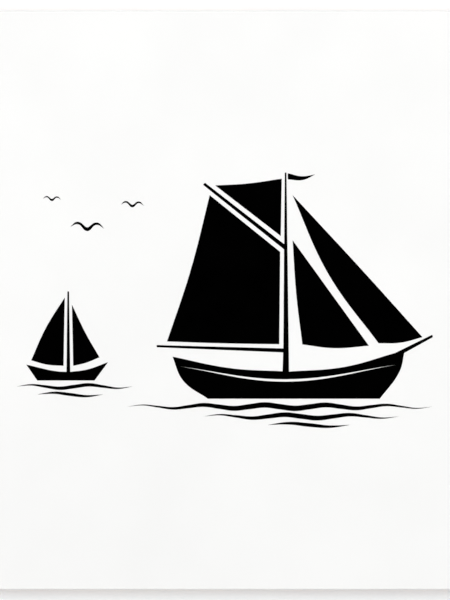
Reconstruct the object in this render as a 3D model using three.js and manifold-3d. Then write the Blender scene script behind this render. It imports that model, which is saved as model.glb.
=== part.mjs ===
// A square drinks coaster: a brown hardboard tile with a gloss white face, backed with cork.
// Four flat sheets are bonded one on the other, and the coaster lies on its cork.
// Lengths are in millimetres and +Z is up. The origin is on the surface that the coaster
// lies on, under the middle of the tile. The top of the printed picture points along +Y.

import * as THREE from "three";
import { mergeVertices } from "three/addons/utils/BufferGeometryUtils.js";
import Module from "manifold-3d";

// Driving sizes
const TILE_SIDE = 95;
const CORNER_RADIUS = 6;
const CORK_THICKNESS = 1.5;
const FILM_THICKNESS = 0.1;
const BOARD_THICKNESS = 2.7;
const FACE_THICKNESS = 0.5;

// The cork is cut a little smaller than the board, so a thin rim of bare board shows
// around it from below.
const CORK_INSET = 0.4;

// The top arris of the white face is rounded over.
const ARRIS_RADIUS = 0.4;
const ARRIS_STEPS = 4;

// Straight steps in each rounded corner
const CORNER_STEPS = 12;

const wasm = await Module();
wasm.setup();

function solidOf(geometry) {
  const bare = geometry.clone().deleteAttribute("normal").deleteAttribute("uv");
  const merged = mergeVertices(bare, 1e-4);
  return new wasm.Manifold(
    new wasm.Mesh({
      numProp: 3,
      vertProperties: merged.attributes.position.array,
      triVerts: new Uint32Array(merged.index.array),
    }),
  );
}

function geometryOf(solid) {
  const mesh = solid.getMesh();
  const geometry = new THREE.BufferGeometry();
  geometry.setAttribute("position", new THREE.BufferAttribute(mesh.vertProperties, 3));
  geometry.setIndex(new THREE.BufferAttribute(mesh.triVerts, 1));
  geometry.computeVertexNormals();
  return geometry;
}

// The outline of a sheet: the tile's rounded square, brought in by inset all round.
function sheetOutline(inset) {
  const radius = CORNER_RADIUS - inset;
  const middle = TILE_SIDE / 2 - CORNER_RADIUS;
  const outline = new THREE.Shape();
  outline.absarc(middle, middle, radius, 0, 0.5 * Math.PI);
  outline.absarc(-middle, middle, radius, 0.5 * Math.PI, Math.PI);
  outline.absarc(-middle, -middle, radius, Math.PI, 1.5 * Math.PI);
  outline.absarc(middle, -middle, radius, 1.5 * Math.PI, 2 * Math.PI);
  return outline;
}

// A sheet with square edges.
function squareEdgedSheet(inset, thickness) {
  return new THREE.ExtrudeGeometry(sheetOutline(inset), {
    depth: thickness,
    bevelEnabled: false,
    curveSegments: CORNER_STEPS,
  });
}

// The face sheet: square-edged below, where it meets the board, and rounded over above.
// The extrusion is rounded at both ends, and the rounding below z = 0 is trimmed off.
function roundedFaceSheet() {
  const rounded = new THREE.ExtrudeGeometry(sheetOutline(0), {
    depth: FACE_THICKNESS - ARRIS_RADIUS,
    bevelThickness: ARRIS_RADIUS,
    bevelSize: ARRIS_RADIUS,
    bevelOffset: -ARRIS_RADIUS,
    bevelSegments: ARRIS_STEPS,
    curveSegments: CORNER_STEPS,
  });
  const kept = new THREE.BoxGeometry(2 * TILE_SIDE, 2 * TILE_SIDE, TILE_SIDE);
  kept.translate(0, 0, TILE_SIDE / 2);
  return geometryOf(solidOf(rounded).intersect(solidOf(kept)));
}

const cork = new THREE.MeshStandardMaterial({ color: 0xd09c79, roughness: 0.95, metalness: 0 });
const film = new THREE.MeshStandardMaterial({ color: 0xcabfa6, roughness: 0.3, metalness: 0 });
const board = new THREE.MeshStandardMaterial({ color: 0x67564a, roughness: 0.85, metalness: 0 });
const glossWhite = new THREE.MeshStandardMaterial({ color: 0xfbfbf9, roughness: 0.12, metalness: 0 });

// The sheets from the bottom up. Each lies on the one before it.
const SHEETS = [
  // [name, geometry, thickness, material]
  ["cork_backing", squareEdgedSheet(CORK_INSET, CORK_THICKNESS), CORK_THICKNESS, cork],
  ["adhesive_film", squareEdgedSheet(CORK_INSET, FILM_THICKNESS), FILM_THICKNESS, film],
  ["hardboard_core", squareEdgedSheet(0, BOARD_THICKNESS), BOARD_THICKNESS, board],
  ["white_face", roundedFaceSheet(), FACE_THICKNESS, glossWhite],
];

const coaster = new THREE.Group();
let height = 0;
for (const [name, geometry, thickness, material] of SHEETS) {
  const sheet = new THREE.Mesh(geometry, material);
  sheet.name = name;
  sheet.position.z = height;
  coaster.add(sheet);
  height += thickness;
}

export default coaster;
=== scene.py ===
# A square drinks coaster, seen from straight above on a white table.
# The file follows the coaster as it is made: the board is faced, printed and backed with cork.
# Lengths are in metres, and those of patterns and of the printed picture are in millimetres.

import math

import bmesh
import bpy
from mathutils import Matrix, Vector, noise


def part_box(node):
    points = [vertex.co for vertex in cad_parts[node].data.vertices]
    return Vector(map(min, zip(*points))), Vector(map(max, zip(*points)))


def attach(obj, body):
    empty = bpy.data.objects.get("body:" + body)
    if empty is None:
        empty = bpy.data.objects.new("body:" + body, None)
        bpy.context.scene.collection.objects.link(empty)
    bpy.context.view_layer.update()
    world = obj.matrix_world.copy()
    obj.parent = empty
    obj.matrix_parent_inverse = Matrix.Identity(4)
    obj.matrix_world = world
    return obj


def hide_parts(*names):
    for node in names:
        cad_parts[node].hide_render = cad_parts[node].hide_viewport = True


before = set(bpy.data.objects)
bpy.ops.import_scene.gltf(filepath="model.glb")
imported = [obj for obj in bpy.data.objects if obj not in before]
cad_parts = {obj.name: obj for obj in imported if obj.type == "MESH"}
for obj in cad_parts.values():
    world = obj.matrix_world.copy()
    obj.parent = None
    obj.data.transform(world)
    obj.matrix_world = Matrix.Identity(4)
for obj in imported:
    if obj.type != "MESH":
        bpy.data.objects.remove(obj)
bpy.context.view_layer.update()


# The hardboard core
# A square of brown fibreboard, pressed from wood fibres and die-cut. Its four edges are left
# bare, so they show the matted fibres in flat layers, with a few small chips along the bottom.

MM = 0.001
HAIR = 0.01 * MM

CORNER_RADIUS = 6 * MM
CORNER_SEGMENTS = 24
BOARD_ROWS = 14
BOARD_STEP = 0.2 * MM
FIBRE_LIFT = 0.03 * MM
FIBRE_LUMPS = (1.3, 1.3, 6.0)
CHIP_DEPTH = 0.48 * MM
CHIP_HEIGHT = 0.7 * MM
CHIP_LUMPS = (0.9, 0.9, 0.0)
FEW_CHIPS = 0.25
SMOOTH_BELOW = math.radians(40)

FIBRE_STRETCH = (1, 1, 7)
FIBRES_TO_A_MM = 1.7
STRAND_STRETCH = (1, 1, 11)
STRANDS_TO_A_MM = 0.9
PATCHES_TO_A_MM = 0.16
BOARD_ROUGHNESS = 0.86
BOARD_SHINE = 0.25
FIBRE_BUMP = 0.05 * MM
FIBRE_BUMP_SHARE = 0.7


def rounded_slab(node, corner_radius):
    """A slab as large as a CAD node, with its four upright edges rounded."""
    low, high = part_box(node)
    bm = bmesh.new()
    bmesh.ops.create_cube(bm, size=1)
    bmesh.ops.scale(bm, vec=high - low, verts=bm.verts)
    bmesh.ops.translate(bm, vec=(low + high) / 2, verts=bm.verts)
    bmesh.ops.bevel(
        bm,
        geom=[edge for edge in bm.edges if is_upright(edge)],
        offset=corner_radius,
        segments=CORNER_SEGMENTS,
        profile=0.5,
        affect="EDGES",
        material=-1,
    )
    return bm


def is_upright(edge):
    return (edge.verts[0].co - edge.verts[1].co).xy.length < HAIR


def cut_runs(bm, side, corner_radius, step):
    """Cuts the straight runs of a slab's edges into short steps."""
    straight = side - 2 * corner_radius
    runs = [edge for edge in bm.edges if edge.calc_length() > straight - HAIR]
    bmesh.ops.subdivide_edges(bm, edges=runs, cuts=round(straight / step), use_grid_fill=True)


def beyond_middle(point, side, corner_radius):
    """The level way to a point from a rounded square's inner square, which has no round corners."""
    middle = side / 2 - corner_radius
    inside = (max(-middle, min(middle, point.x)), max(-middle, min(middle, point.y)), point.z)
    return point - Vector(inside)


def outward(point, side, corner_radius):
    """The level direction out of a rounded square's edge, at a point on or near that edge."""
    return beyond_middle(point, side, corner_radius).normalized()


def unevenness(point, lumps):
    """Noise from -1 to 1 at a point, with so many lumps to the millimetre along each axis."""
    return noise.noise(Vector([place / MM * share for place, share in zip(point, lumps)]))


def show(bm, name, material):
    """Makes a finished piece of a bmesh, smooth except over its sharp edges."""
    bm.normal_update()
    for face in bm.faces:
        face.smooth = True
    for edge in bm.edges:
        edge.smooth = edge.is_manifold and edge.calc_face_angle(math.pi) < SMOOTH_BELOW
    mesh = bpy.data.meshes.new(name)
    bm.to_mesh(mesh)
    bm.free()
    mesh.materials.append(material)
    piece = bpy.data.objects.new(name, mesh)
    bpy.context.scene.collection.objects.link(piece)
    return piece


def start_material(name):
    """A new material, with its node tree and its shader."""
    material = bpy.data.materials.new(name)
    material.use_nodes = True
    tree = material.node_tree
    return material, tree, tree.nodes["Principled BSDF"]


def add_node(tree, kind, inputs=(), **settings):
    """Adds a node. Inputs are values, or sockets to link, by name or by number."""
    node = tree.nodes.new(kind)
    for name, value in settings.items():
        setattr(node, name, value)
    for name, value in dict(inputs).items():
        if isinstance(value, bpy.types.NodeSocket):
            tree.links.new(value, node.inputs[name])
        else:
            node.inputs[name].default_value = value
    return node


def tone(red, green, blue):
    """A colour for a socket, from its 8-bit screen values."""
    linear = []
    for value in (red, green, blue):
        share = value / 255
        linear.append(share / 12.92 if share <= 0.04045 else ((share + 0.055) / 1.055) ** 2.4)
    return (*linear, 1)


def ramp(tree, factor, stops):
    """The colour that a factor picks from a list of (place, colour) stops."""
    node = add_node(tree, "ShaderNodeValToRGB", {"Fac": factor})
    elements = node.color_ramp.elements
    while len(elements) < len(stops):
        elements.new(1)
    for element, (place, colour) in zip(elements, stops):
        element.position = place
        element.color = colour
    return node.outputs["Color"]


def rise(tree, factor, start, end, low=0.0, high=1.0):
    """A share that goes from low to high while a factor goes from start to end."""
    inputs = {"Value": factor, "From Min": start, "From Max": end, "To Min": low, "To Max": high}
    return add_node(tree, "ShaderNodeMapRange", inputs).outputs["Result"]


def blend(tree, mode, factor, first, second):
    """Mixes two colours. Sockets 6 and 7 of the node are its colours, and output 2 its result."""
    inputs = {0: factor, 6: first, 7: second}
    return add_node(tree, "ShaderNodeMix", inputs, data_type="RGBA", blend_type=mode).outputs[2]


def object_place(tree):
    return add_node(tree, "ShaderNodeTexCoord").outputs["Object"]


def millimetres(tree, stretch=(1, 1, 1)):
    """Object coordinates in millimetres, multiplied by stretch, which flattens a pattern."""
    inputs = {"Vector": object_place(tree), "Scale": Vector(stretch) / MM}
    return add_node(tree, "ShaderNodeMapping", inputs).outputs["Vector"]


def speckle(tree, place, scale, detail=2.0, roughness=0.5):
    """Noise from 0 to 1, with scale in lumps to the millimetre."""
    inputs = {"Vector": place, "Scale": scale, "Detail": detail, "Roughness": roughness}
    return add_node(tree, "ShaderNodeTexNoise", inputs).outputs["Fac"]


def relief(tree, surface, height, share, depth):
    """Gives a surface a bump of a height from 0 to 1."""
    inputs = {"Height": height, "Strength": share, "Distance": depth}
    bump = add_node(tree, "ShaderNodeBump", inputs)
    tree.links.new(bump.outputs["Normal"], surface.inputs["Normal"])


def hardboard_material():
    material, tree, surface = start_material("hardboard_edge")
    fibres = speckle(tree, millimetres(tree, FIBRE_STRETCH), FIBRES_TO_A_MM, detail=5, roughness=0.65)
    strands = speckle(tree, millimetres(tree, STRAND_STRETCH), STRANDS_TO_A_MM, detail=3, roughness=0.6)
    patches = speckle(tree, millimetres(tree), PATCHES_TO_A_MM)
    colour = ramp(tree, fibres, [
        (0.28, tone(70, 55, 43)),
        (0.46, tone(103, 84, 67)),
        (0.60, tone(126, 104, 83)),
        (0.76, tone(152, 128, 103)),
    ])
    pale = rise(tree, strands, 0.60, 0.72)
    colour = blend(tree, "MIX", pale, colour, tone(164, 139, 110))
    shade = ramp(tree, patches, [(0.3, tone(222, 222, 222)), (0.7, tone(255, 255, 255))])
    colour = blend(tree, "MULTIPLY", 1.0, colour, shade)
    tree.links.new(colour, surface.inputs["Base Color"])
    surface.inputs["Roughness"].default_value = BOARD_ROUGHNESS
    surface.inputs["Specular IOR Level"].default_value = BOARD_SHINE
    relief(tree, surface, fibres, FIBRE_BUMP_SHARE, FIBRE_BUMP)
    return material


def fray(vert, low, high):
    """Gives a point of the board's edge its fibres and chips, inwards. The edge at the face is clean."""
    if high.z - vert.co.z < HAIR:
        return
    fibre = 0.5 + 0.5 * unevenness(vert.co, FIBRE_LUMPS)
    chip = max(0, unevenness(vert.co, CHIP_LUMPS) - FEW_CHIPS)
    near_bottom = max(0, 1 - (vert.co.z - low.z) / CHIP_HEIGHT)
    depth = FIBRE_LIFT * fibre + CHIP_DEPTH * chip * near_bottom**2
    vert.co -= outward(vert.co, high.x - low.x, CORNER_RADIUS) * depth


def hardboard_core():
    low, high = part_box("hardboard_core")
    bm = rounded_slab("hardboard_core", CORNER_RADIUS)
    cut_runs(bm, high.x - low.x, CORNER_RADIUS, BOARD_STEP)
    uprights = [edge for edge in bm.edges if is_upright(edge)]
    bmesh.ops.subdivide_edges(bm, edges=uprights, cuts=BOARD_ROWS - 1, use_grid_fill=True)
    for vert in bm.verts:
        fray(vert, low, high)
    return show(bm, "hardboard_edge", hardboard_material())


board = hardboard_core()
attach(board, "root")
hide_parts("hardboard_core")


# The white face
# A hard white gloss coat on a thin white sheet, bonded to the board under heat. Its top edge is
# rounded over all round, where painted shade greys the colour a little as it turns down, and the flat
# has the faint waviness of a coat that flowed and set.

ARRIS_RADIUS = 0.4 * MM
ARRIS_SEGMENTS = 8
FLAT_MARGIN = 0.3 * MM

GLOSS_ROUGHNESS = 0.09
GLOSS_SHINE = 0.5
WAVES_TO_A_MM = 0.55
WAVE_BUMP = 0.02 * MM
WAVE_BUMP_SHARE = 0.12
CLOUDS_TO_A_MM = 0.06
UNSHADED_ABOVE = 0.75
FULL_SHADE_BELOW = 0.45


def gloss(tree, surface):
    """The shine of the coat, with its faint orange peel."""
    waves = speckle(tree, millimetres(tree), WAVES_TO_A_MM, detail=1.5, roughness=0.4)
    relief(tree, surface, waves, WAVE_BUMP_SHARE, WAVE_BUMP)
    surface.inputs["Roughness"].default_value = GLOSS_ROUGHNESS
    surface.inputs["Specular IOR Level"].default_value = GLOSS_SHINE


def white_material():
    """The coat's colour, white where the surface faces up and greyed by painted shade where it turns
    down over the arris.
    """
    material, tree, surface = start_material("white_gloss_face")
    clouds = speckle(tree, millimetres(tree), CLOUDS_TO_A_MM)
    coat = ramp(tree, clouds, [(0.3, tone(244, 244, 243)), (0.7, tone(247, 247, 246))])
    normal = add_node(tree, "ShaderNodeNewGeometry").outputs["Normal"]
    up = add_node(tree, "ShaderNodeSeparateXYZ", {"Vector": normal}).outputs["Z"]
    # painted shade: the coat's colour greys where the surface turns down over the arris
    arris_shade = rise(tree, up, UNSHADED_ABOVE, FULL_SHADE_BELOW)
    colour = blend(tree, "MIX", arris_shade, coat, tone(215, 217, 216))
    tree.links.new(colour, surface.inputs["Base Color"])
    gloss(tree, surface)
    return material


def level_top(bm):
    return max(bm.faces, key=lambda face: face.calc_area() * face.normal.z)


def white_face():
    bm = rounded_slab("white_face", CORNER_RADIUS)
    bm.normal_update()
    bmesh.ops.bevel(
        bm,
        geom=list(level_top(bm).edges),
        offset=ARRIS_RADIUS,
        segments=ARRIS_SEGMENTS,
        profile=0.5,
        affect="EDGES",
        material=-1,
    )
    bm.normal_update()
    bmesh.ops.inset_region(bm, faces=[level_top(bm)], thickness=FLAT_MARGIN)
    return show(bm, "white_face_sheet", white_material())


face = white_face()
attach(face, "root")
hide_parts("white_face")


# The printed picture
# A black silhouette, printed into the gloss coat: a sailing boat and a smaller one far off on
# rippled water, with gulls above. The ink is solid and shines as the coat around it does.

INK_THICKNESS = 0.03 * MM
INK_STEPS = 12
INK_CLOUDS_TO_A_MM = 0.2
RIPPLE_SWING = 0.28
POINTS_TO_A_CREST = 4

# Outlines are lists of points in millimetres from the face's middle. A point is a corner, or part
# of a smooth curve where "round" follows.

HULL_AND_SPARS = [
    (-8.6, -9.3), (1.0, -11.2, "round"), (9.45, -11.7),
    (9.55, -8.6), (-11.2, -7.75), (-11.2, -7.4), (9.58, -7.95),
    (9.7, 8.3), (-3.6, 18.9), (-3.3, 19.25), (9.72, 9.15),
    (9.82, 20.9), (10.08, 20.9), (10.5, -11.75),
    (19.5, -11.0, "round"), (27.9, -8.7), (34.0, -5.7), (34.1, -6.1), (29.4, -8.7),
    (28.7, -11.6, "round"), (25.4, -16.2), (-2.8, -16.2), (-6.9, -13.2, "round"),
]
RUBBING_STRAKE = [(-7.5, -10.9), (10.0, -13.0, "round"), (28.3, -10.6), (10.0, -13.4, "round")]
MAINSAIL = [
    (8.9, -7.25), (9.05, 7.9), (-2.5, 17.2), (-5.6, 5.0, "round"), (-9.5, -6.8), (-0.5, -7.1, "round"),
]
TOPSAIL = [(9.15, 10.5), (9.3, 19.9), (3.6, 19.1, "round"), (-1.6, 18.8)]
STAYSAIL = [(11.1, 9.8), (23.6, -7.5), (18.0, -7.9, "round"), (12.7, -7.3), (11.7, 1.0, "round")]
JIB = [
    (11.1, 17.2), (22.4, 5.0, "round"), (32.4, -6.1), (28.8, -7.0, "round"), (25.2, -7.1),
    (17.0, 4.2, "round"),
]
PENNANT = [(10.3, 20.8), (12.6, 20.3, "round"), (14.8, 20.6), (12.8, 19.7, "round"), (10.3, 19.8)]

FAR_HULL_AND_MAST = [
    (-32.6, -10.6), (-27.6, -11.7, "round"), (-26.0, -11.8), (-25.85, 1.4), (-25.6, 1.4), (-25.4, -11.8),
    (-22.6, -11.4, "round"), (-19.2, -10.2), (-21.4, -13.2), (-30.8, -13.2),
]
FAR_MAINSAIL = [
    (-26.5, -10.8), (-26.3, 0.4), (-29.4, -4.6, "round"), (-31.8, -9.9), (-29.2, -10.6, "round"),
]
FAR_JIB = [(-24.9, -10.8), (-25.1, -0.8), (-22.9, -5.4, "round"), (-20.6, -9.4), (-22.8, -10.3, "round")]

# The gull is in shares of its wings' span, from its body.

GULL = [
    (-0.50, 0.07), (-0.29, 0.22, "round"), (-0.03, 0.06), (0.03, 0.06), (0.28, 0.20, "round"),
    (0.50, 0.02), (0.27, 0.13, "round"), (0.0, -0.05, "round"), (-0.28, 0.15, "round"),
]


def ripple(left, right, y, thickness, crests):
    """A long low wave, thickest in its middle and pointed at both ends."""
    steps = POINTS_TO_A_CREST * crests
    over, under = [], []
    for step in range(1, steps):
        share = step / steps
        x = left + (right - left) * share
        middle = y + RIPPLE_SWING * math.sin(share * crests * math.tau)
        half = thickness / 2 * math.sin(share * math.pi)
        over.append((x, middle + half, "round"))
        under.append((x, middle - half, "round"))
    return [(left, y), *over, (right, y), *reversed(under)]


def gull(x, y, span):
    """A gliding gull: two bowed wings that meet over a small body."""
    return [(x + span * along, y + span * up, *kind) for along, up, *kind in GULL]


PRINTED = {
    "printed_boat": [HULL_AND_SPARS, RUBBING_STRAKE, MAINSAIL, TOPSAIL, STAYSAIL, JIB, PENNANT],
    "printed_distant_boat": [FAR_HULL_AND_MAST, FAR_MAINSAIL, FAR_JIB],
    "printed_water": [
        ripple(-16.0, 34.0, -17.5, 0.9, 5),
        ripple(-3.5, 28.5, -19.1, 0.8, 3),
        ripple(7.0, 20.5, -20.5, 0.6, 1),
        ripple(-34.2, -15.2, -14.2, 0.6, 2),
        ripple(-30.8, -20.0, -15.5, 0.5, 1),
    ],
    "printed_gulls": [gull(-22.6, 11.6, 5.6), gull(-15.2, 15.4, 3.8), gull(-28.4, 16.4, 3.0)],
}


def ink_material():
    material, tree, surface = start_material("black_print")
    clouds = speckle(tree, millimetres(tree), INK_CLOUDS_TO_A_MM)
    colour = ramp(tree, clouds, [(0.3, tone(0, 0, 0)), (0.7, tone(1, 1, 1))])
    tree.links.new(colour, surface.inputs["Base Color"])
    gloss(tree, surface)
    return material


def outline_curve(name, outlines):
    """A flat curve of closed outlines, filled where one lies inside another by turns."""
    curve = bpy.data.curves.new(name, "CURVE")
    curve.dimensions = "2D"
    curve.fill_mode = "BOTH"
    curve.resolution_u = INK_STEPS
    curve.extrude = INK_THICKNESS / 2
    for outline in outlines:
        spline = curve.splines.new("BEZIER")
        spline.bezier_points.add(len(outline) - 1)
        for point, (x, y, *kind) in zip(spline.bezier_points, outline):
            point.co = (x * MM, y * MM, 0)
            point.handle_left_type = point.handle_right_type = "AUTO" if kind else "VECTOR"
        spline.use_cyclic_u = True
    return curve


def ink(name, outlines, material):
    """Prints outlines on the face, as a film of ink with its mesh in place."""
    drawing = bpy.data.objects.new(name + "_outline", outline_curve(name, outlines))
    bpy.context.scene.collection.objects.link(drawing)
    filled = drawing.evaluated_get(bpy.context.evaluated_depsgraph_get())
    mesh = bpy.data.meshes.new_from_object(filled)
    bpy.data.objects.remove(drawing)
    bm = bmesh.new()
    bm.from_mesh(mesh)
    bpy.data.meshes.remove(mesh)
    on_the_face = (0, 0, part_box("white_face")[1].z + INK_THICKNESS / 2)
    bmesh.ops.translate(bm, vec=on_the_face, verts=bm.verts)
    bmesh.ops.remove_doubles(bm, verts=bm.verts, dist=0.1 * HAIR)
    bmesh.ops.recalc_face_normals(bm, faces=bm.faces)
    return show(bm, name, material)


ink_black = ink_material()
for name, outlines in PRINTED.items():
    print_piece = ink(name, outlines, ink_black)
    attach(print_piece, "root")


# The adhesive film
# A clear film of glue that comes off a roll with the cork. It shows only at its cut edge, as a
# thin satin line between the board and the cork, which wavers where the film has shrunk back.

CORK_CORNER_RADIUS = 5.6 * MM
FILM_STEP = 0.4 * MM
FILM_SHRINKAGE = 0.12 * MM
FILM_LUMPS = (0.7, 0.7, 0.0)
FILM_ROUGHNESS = 0.32
SMEARS_TO_A_MM = 0.8


def film_material():
    material, tree, surface = start_material("adhesive_film")
    smears = speckle(tree, millimetres(tree), SMEARS_TO_A_MM, detail=3)
    colour = ramp(tree, smears, [(0.3, tone(186, 172, 146)), (0.7, tone(208, 197, 172))])
    tree.links.new(colour, surface.inputs["Base Color"])
    surface.inputs["Roughness"].default_value = FILM_ROUGHNESS
    return material


def adhesive_film():
    low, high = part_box("adhesive_film")
    side = high.x - low.x
    bm = rounded_slab("adhesive_film", CORK_CORNER_RADIUS)
    cut_runs(bm, side, CORK_CORNER_RADIUS, FILM_STEP)
    for vert in bm.verts:
        shrinkage = FILM_SHRINKAGE * max(0, unevenness(vert.co, FILM_LUMPS))
        vert.co -= outward(vert.co, side, CORK_CORNER_RADIUS) * shrinkage
    return show(bm, "adhesive_line", film_material())


film = adhesive_film()
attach(film, "root")
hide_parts("adhesive_film")


# The cork backing
# A sheet of agglomerated cork: granules half a millimetre to two across, pressed with binder,
# sliced and sanded. The sanded side has pits where a granule came out, and the cut edge crumbles.

CORK_STEP = 0.34 * MM
CORK_ROWS = 5
GRANULE = 1.4 * MM
SMALL_GRANULE = 0.75 * MM
BARK_BIT = 0.36 * MM
GROOVE_DEPTH = 0.03 * MM
GROOVE_WIDTH = 0.22
PIT_DEPTH = 0.22 * MM
PIT_SHARE = 0.07
PIT_SLOPE = 0.35
CRUMBLE_DEPTH = 0.2 * MM
CRUMBLE_LUMPS = (1.1, 1.1, 1.1)
LITTLE_CRUMBLING = 0.1
FIRM_RIM = 1.5 * MM
CHANCE_SPREAD = 7.3

LARGE_SHARE = 0.5
EDGE_LUMPS_TO_A_MM = 1.3
EDGE_SWAY_MM = 0.9
BATCHES_TO_A_MM = 0.2
STREAK_STRETCH = (1.0, 3.2, 1.6)
STREAKS_TO_A_MM = 1.1
BINDER_WIDTH = 0.11
BINDER_PATCHES_TO_A_MM = 0.9
CRUMBS_TO_A_MM = 1.5
BARK_LUMPS_TO_A_MM = 2.6
BARK_SWAY_MM = 0.5
BARK_FROM = 0.945
BARK_FULL = 0.965
GRAIN_TO_A_MM = 7.0
CORK_BUMP = 0.07 * MM
CORK_BUMP_SHARE = 0.6
CORK_ROUGHNESS = 0.92
CORK_SHINE = 0.2


def granules(tree, place, size, feature="F1"):
    """A pattern of cells as large as the granules, with place in millimetres."""
    inputs = {"Vector": place, "Scale": MM / size}
    return add_node(tree, "ShaderNodeTexVoronoi", inputs, feature=feature).outputs


def granule_numbers(tree, place, size):
    """Three numbers from 0 to 1 that stay with a granule."""
    colour = granules(tree, place, size)["Color"]
    return add_node(tree, "ShaderNodeSeparateColor", {"Color": colour}).outputs


def swayed(tree, place, lumps, reach):
    """A place in millimetres, pushed about by noise so that straight edges come out ragged."""
    noises = add_node(tree, "ShaderNodeTexNoise", {"Vector": place, "Scale": lumps, "Detail": 3.0})
    middle = (0.5, 0.5, 0.5)
    centred = vector_sum(tree, "SUBTRACT", noises.outputs["Color"], middle)
    push = add_node(tree, "ShaderNodeVectorMath", {0: centred, "Scale": reach}, operation="SCALE")
    return vector_sum(tree, "ADD", place, push.outputs[0])


def vector_sum(tree, operation, first, second):
    inputs = {0: first, 1: second}
    return add_node(tree, "ShaderNodeVectorMath", inputs, operation=operation).outputs[0]


def calculate(tree, operation, first, second):
    inputs = {0: first, 1: second}
    return add_node(tree, "ShaderNodeMath", inputs, operation=operation).outputs[0]


def streaks(tree, place, number):
    """The drawn-out cells of each granule, which lie at an angle of their own."""
    inputs = {"Vector": place, "Angle": calculate(tree, "MULTIPLY", number, math.tau)}
    turned = add_node(tree, "ShaderNodeVectorRotate", inputs, rotation_type="Z_AXIS").outputs["Vector"]
    drawn_out = add_node(tree, "ShaderNodeMapping", {"Vector": turned, "Scale": STREAK_STRETCH})
    return speckle(tree, drawn_out.outputs["Vector"], STREAKS_TO_A_MM, detail=3, roughness=0.6)


def granule_colour(tree, place, shade_number, hue_number):
    """Each granule's own colour, with the dark and pale streaks of its cells."""
    colour = ramp(tree, shade_number, [
        (0.00, tone(202, 147, 111)),
        (0.15, tone(220, 165, 129)),
        (0.45, tone(231, 179, 143)),
        (0.75, tone(238, 191, 157)),
        (0.92, tone(244, 208, 176)),
        (1.00, tone(250, 225, 197)),
    ])
    hue = ramp(tree, hue_number, [
        (0.1, tone(255, 231, 226)),
        (0.5, tone(255, 249, 245)),
        (0.9, tone(250, 255, 225)),
    ])
    colour = blend(tree, "MULTIPLY", 1.0, colour, hue)
    cells = streaks(tree, place, shade_number)
    shade = ramp(tree, cells, [
        (0.32, tone(206, 194, 184)),
        (0.48, tone(250, 247, 244)),
        (0.72, tone(255, 255, 255)),
    ])
    colour = blend(tree, "MULTIPLY", 1.0, colour, shade)
    return blend(tree, "MIX", rise(tree, cells, 0.62, 0.74, 0, 0.7), colour, tone(246, 214, 180))


def granule_gap(tree, place, is_small):
    """How far a place is from its granule's edge, in shares of a granule."""
    large_gap = granules(tree, place, GRANULE, "DISTANCE_TO_EDGE")["Distance"]
    small_gap = granules(tree, place, SMALL_GRANULE, "DISTANCE_TO_EDGE")["Distance"]
    is_large = calculate(tree, "SUBTRACT", 1.0, is_small)
    return calculate(tree, "MINIMUM", large_gap, calculate(tree, "ADD", small_gap, is_large))


def binder_share(tree, place, gap):
    """How much binder shows: most right at a granule's edge, and more in some patches."""
    patches = speckle(tree, place, BINDER_PATCHES_TO_A_MM, detail=3, roughness=0.6)
    at_edge = rise(tree, gap, BINDER_WIDTH, 0.0)
    return calculate(tree, "MULTIPLY", at_edge, rise(tree, patches, 0.44, 0.62, 0.15, 0.85))


def crumb_share(tree, place, gap):
    """Where dark crumbs lie, pressed in along the granules' edges."""
    crumbs = speckle(tree, place, CRUMBS_TO_A_MM, detail=3, roughness=0.65)
    near_edge = rise(tree, gap, 0.15, 0.06)
    return calculate(tree, "MULTIPLY", near_edge, rise(tree, crumbs, 0.58, 0.63, 0, 0.9))


def bark_share(tree, place):
    """Where a few bits of dark bark lie, each whole."""
    ragged = swayed(tree, place, BARK_LUMPS_TO_A_MM, BARK_SWAY_MM)
    number = granule_numbers(tree, ragged, BARK_BIT)[0]
    return rise(tree, number, BARK_FROM, BARK_FULL, 0, 0.9)


def pit_binder_and_shade(tree):
    """How much darker the surface is by how deep in a pit it lies, from the sheet's own attribute:
    partly the binder and dust inside the pit, partly painted shade.
    """
    pit = add_node(tree, "ShaderNodeAttribute", attribute_name="pit").outputs["Fac"]
    return rise(tree, pit, 0.15, 0.8, 0, 0.75)


def cork_material():
    material, tree, surface = start_material("granulated_cork")
    place = millimetres(tree)
    ragged = swayed(tree, place, EDGE_LUMPS_TO_A_MM, EDGE_SWAY_MM)
    large = granule_numbers(tree, ragged, GRANULE)
    small = granule_numbers(tree, ragged, SMALL_GRANULE)
    is_small = calculate(tree, "GREATER_THAN", large[0], LARGE_SHARE)
    shade_number = blend(tree, "MIX", is_small, large[1], small[1])
    batches = rise(tree, speckle(tree, place, BATCHES_TO_A_MM, detail=1), 0.3, 0.7)
    hue_number = blend(tree, "MIX", 0.5, large[2], batches)
    gap = granule_gap(tree, ragged, is_small)

    colour = granule_colour(tree, ragged, shade_number, hue_number)
    colour = blend(tree, "MIX", binder_share(tree, place, gap), colour, tone(160, 106, 72))
    colour = blend(tree, "MIX", crumb_share(tree, place, gap), colour, tone(116, 70, 42))
    colour = blend(tree, "MIX", bark_share(tree, place), colour, tone(122, 74, 45))
    # darker deep in the pits: partly binder and dust, partly painted shade
    colour = blend(tree, "MIX", pit_binder_and_shade(tree), colour, tone(136, 86, 54))
    tree.links.new(colour, surface.inputs["Base Color"])
    surface.inputs["Roughness"].default_value = CORK_ROUGHNESS
    surface.inputs["Specular IOR Level"].default_value = CORK_SHINE

    grain = speckle(tree, place, GRAIN_TO_A_MM, detail=3, roughness=0.6)
    height = calculate(tree, "ADD", rise(tree, gap, 0.0, 0.12), grain)
    relief(tree, surface, height, CORK_BUMP_SHARE, CORK_BUMP)
    return material


def chance(point):
    """A number from 0 to 1 that stays with a granule, by its centre."""
    return noise.cell(point * CHANCE_SPREAD)


def groove_depth(place):
    """How deep the sanded surface dips between two granules."""
    nearest, second, *others = noise.voronoi(place / GRANULE)[0]
    return GROOVE_DEPTH * max(0, 1 - (second - nearest) / GROOVE_WIDTH)


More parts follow.
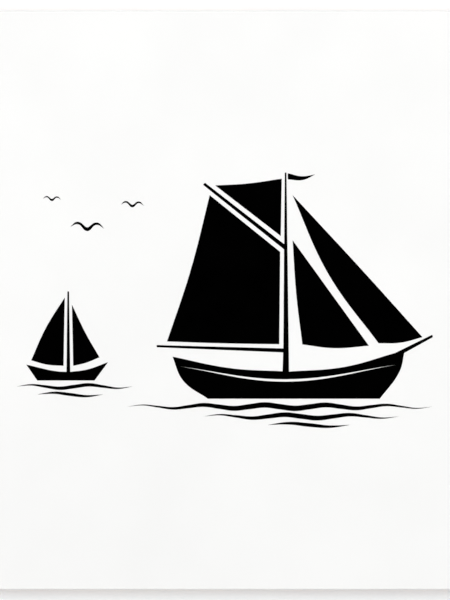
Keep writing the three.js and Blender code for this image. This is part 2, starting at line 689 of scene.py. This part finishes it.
def pit_depth(place):
    """How deep the hole of a small granule is that came out, if there is one."""
    (nearest, second, *others), centres = noise.voronoi(place / SMALL_GRANULE)
    if chance(centres[0]) > PIT_SHARE:
        return 0
    inside = min(1, (second - nearest) / PIT_SLOPE)
    return PIT_DEPTH * inside * (0.5 + 0.5 * chance(centres[0] * 2))


def round_corner(vert, middle):
    """Draws a point of the grid's square corner in, so that the grid ends in a round one."""
    beyond = Vector((abs(vert.co.x) - middle, abs(vert.co.y) - middle))
    if min(beyond) > 0:
        beyond *= max(beyond) / beyond.length
        vert.co.x = math.copysign(middle + beyond.x, vert.co.x)
        vert.co.y = math.copysign(middle + beyond.y, vert.co.y)


def cork_blank():
    """A plain sheet of cork with a fine grid on its underside and rows round its edge."""
    low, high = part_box("cork_backing")
    half = (high.x - low.x) / 2
    bm = bmesh.new()
    count = round(2 * half / CORK_STEP)
    bmesh.ops.create_grid(bm, x_segments=count, y_segments=count, size=half)
    for vert in bm.verts:
        round_corner(vert, half - CORK_CORNER_RADIUS)
    rim = [edge for edge in bm.edges if edge.is_boundary]
    for _ in range(CORK_ROWS):
        made = bmesh.ops.extrude_edge_only(bm, edges=rim)["geom"]
        rim_verts = [item for item in made if isinstance(item, bmesh.types.BMVert)]
        bmesh.ops.translate(bm, vec=(0, 0, (high.z - low.z) / CORK_ROWS), verts=rim_verts)
        rim = [edge for edge in bm.edges if edge.is_boundary]
    bmesh.ops.contextual_create(bm, geom=rim)
    bmesh.ops.recalc_face_normals(bm, faces=bm.faces)
    return bm


def cork_backing():
    """The sheet with its relief. The underside is firmer, and its relief fainter, near the rim."""
    low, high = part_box("cork_backing")
    side = high.x - low.x
    bm = cork_blank()
    pit_layer = bm.verts.layers.float.new("pit")
    for vert in bm.verts:
        place = vert.co.copy()
        pit = pit_depth(place)
        depth = groove_depth(place) + pit
        vert[pit_layer] = pit / PIT_DEPTH
        inset = CORK_CORNER_RADIUS - beyond_middle(place, side, CORK_CORNER_RADIUS).length
        if inset < HAIR:
            crumble = max(0, unevenness(place, CRUMBLE_LUMPS) - LITTLE_CRUMBLING)
            vert.co -= outward(place, side, CORK_CORNER_RADIUS) * (depth + CRUMBLE_DEPTH * crumble)
        if place.z < low.z + HAIR:
            vert.co.z += depth * min(1, 0.1 + inset / FIRM_RIM)
    return show(bm, "cork_sheet", cork_material())


cork = cork_backing()
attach(cork, "root")
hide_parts("cork_backing")


# The table
# A plain white tabletop under the coaster, wide enough to reach the horizon of any view. It glows
# a little, as if lit from below: painted light, cool near the coaster and neutral farther out, which
# takes the warm cast of the cork out of the shadow.

TABLE_SIDE = 8.0
TABLE_ROUGHNESS = 0.7
TABLE_SHINE = 0.1
TABLE_GLOW = 0.209
COOL_WITHIN = 0.08
NEUTRAL_BEYOND = 0.25


def table_material():
    material, tree, surface = start_material("white_table")
    surface.inputs["Base Color"].default_value = tone(249, 249, 249)
    surface.inputs["Roughness"].default_value = TABLE_ROUGHNESS
    surface.inputs["Specular IOR Level"].default_value = TABLE_SHINE
    surface.inputs["Emission Strength"].default_value = TABLE_GLOW
    lengths = add_node(tree, "ShaderNodeVectorMath", {0: object_place(tree)}, operation="LENGTH")
    neutral = rise(tree, lengths.outputs["Value"], COOL_WITHIN, NEUTRAL_BEYOND)
    # painted light: the glow is cool near the coaster and neutral farther out
    glow = blend(tree, "MIX", neutral, tone(231, 247, 255), tone(244, 244, 244))
    tree.links.new(glow, surface.inputs["Emission Color"])
    return material


def tabletop():
    """A flat square, a hair under the cork so that the two faces don't flicker."""
    bm = bmesh.new()
    bmesh.ops.create_grid(bm, x_segments=1, y_segments=1, size=TABLE_SIDE / 2)
    bmesh.ops.translate(bm, vec=(0, 0, -HAIR), verts=bm.verts)
    return show(bm, "tabletop", table_material())


table = tabletop()


# The light
# A white tent with a small dark opening straight above, where the camera looks in, and a bright
# hem that meets the table. Two large soft lamps stand close by, one on each side and a little
# behind the coaster, and a wide low one stands far off in front.

TENT_LIGHT = 0.721
TENT_SHADES = [(0.0, 1.05), (0.05, 0.90), (0.12, 0.62), (0.35, 0.80), (0.70, 1.0)]
OPENING_ANGLE = math.radians(13)
OPENING_RIM = 0.02
RIM_SHADE = 0.9

SIDE_LAMP_ASIDE = 0.28
SIDE_LAMP_BEHIND = 0.10
SIDE_LAMP_HEIGHT = 0.30
SIDE_LAMP_SIZE = 0.27
SIDE_LAMP_POWER = 0.615
FRONT_LAMP_PLACE = (0.0, -1.40, 0.70)
FRONT_LAMP_SIZE = 0.80
FRONT_LAMP_POWER = 3.26


def tent():
    """A white world that dims towards the floor. Places on its ramp are heights from 0 to 1."""
    world = bpy.data.worlds.new("white_tent")
    world.use_nodes = True
    tree = world.node_tree
    direction = add_node(tree, "ShaderNodeTexCoord").outputs["Generated"]
    up = add_node(tree, "ShaderNodeSeparateXYZ", {"Vector": direction}).outputs["Z"]
    opening = math.cos(OPENING_ANGLE)
    shades = [*TENT_SHADES, (opening - OPENING_RIM, RIM_SHADE), (opening, 0.0)]
    light = ramp(tree, up, [(height, (shade, shade, shade, 1)) for height, shade in shades])
    background = tree.nodes["Background"]
    tree.links.new(light, background.inputs["Color"])
    background.inputs["Strength"].default_value = TENT_LIGHT
    bpy.context.scene.world = world


def lamp(name, place, size, power):
    """A square soft lamp that faces the coaster and isn't seen itself."""
    data = bpy.data.lights.new(name, "AREA")
    data.size = size
    data.energy = power
    light = bpy.data.objects.new(name, data)
    light.location = place
    light.rotation_mode = "QUATERNION"
    light.rotation_quaternion = Vector(place).to_track_quat("Z", "Y")
    light.visible_camera = False
    bpy.context.scene.collection.objects.link(light)


tent()
for name, aside in (("left_lamp", -SIDE_LAMP_ASIDE), ("right_lamp", SIDE_LAMP_ASIDE)):
    lamp(name, (aside, SIDE_LAMP_BEHIND, SIDE_LAMP_HEIGHT), SIDE_LAMP_SIZE, SIDE_LAMP_POWER)
lamp("front_lamp", FRONT_LAMP_PLACE, FRONT_LAMP_SIZE, FRONT_LAMP_POWER)


# The camera
# It looks straight down on the face's middle through a long lens, with the picture's top up,
# and the whole height of the face just fits the frame.

LENS = 200
SENSOR = 36
FRAME_HEIGHT = 98.45 * MM
NEAR_CLIP = 0.01
FAR_CLIP = 50

camera_data = bpy.data.cameras.new("camera")
camera_data.lens = LENS
camera_data.sensor_width = SENSOR
camera_data.clip_start = NEAR_CLIP
camera_data.clip_end = FAR_CLIP
camera = bpy.data.objects.new("camera", camera_data)
face_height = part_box("white_face")[1].z
camera.location = (0, 0, face_height + FRAME_HEIGHT / SENSOR * LENS)
bpy.context.scene.collection.objects.link(camera)
bpy.context.scene.camera = camera
bpy.context.scene.view_settings.view_transform = "Standard"
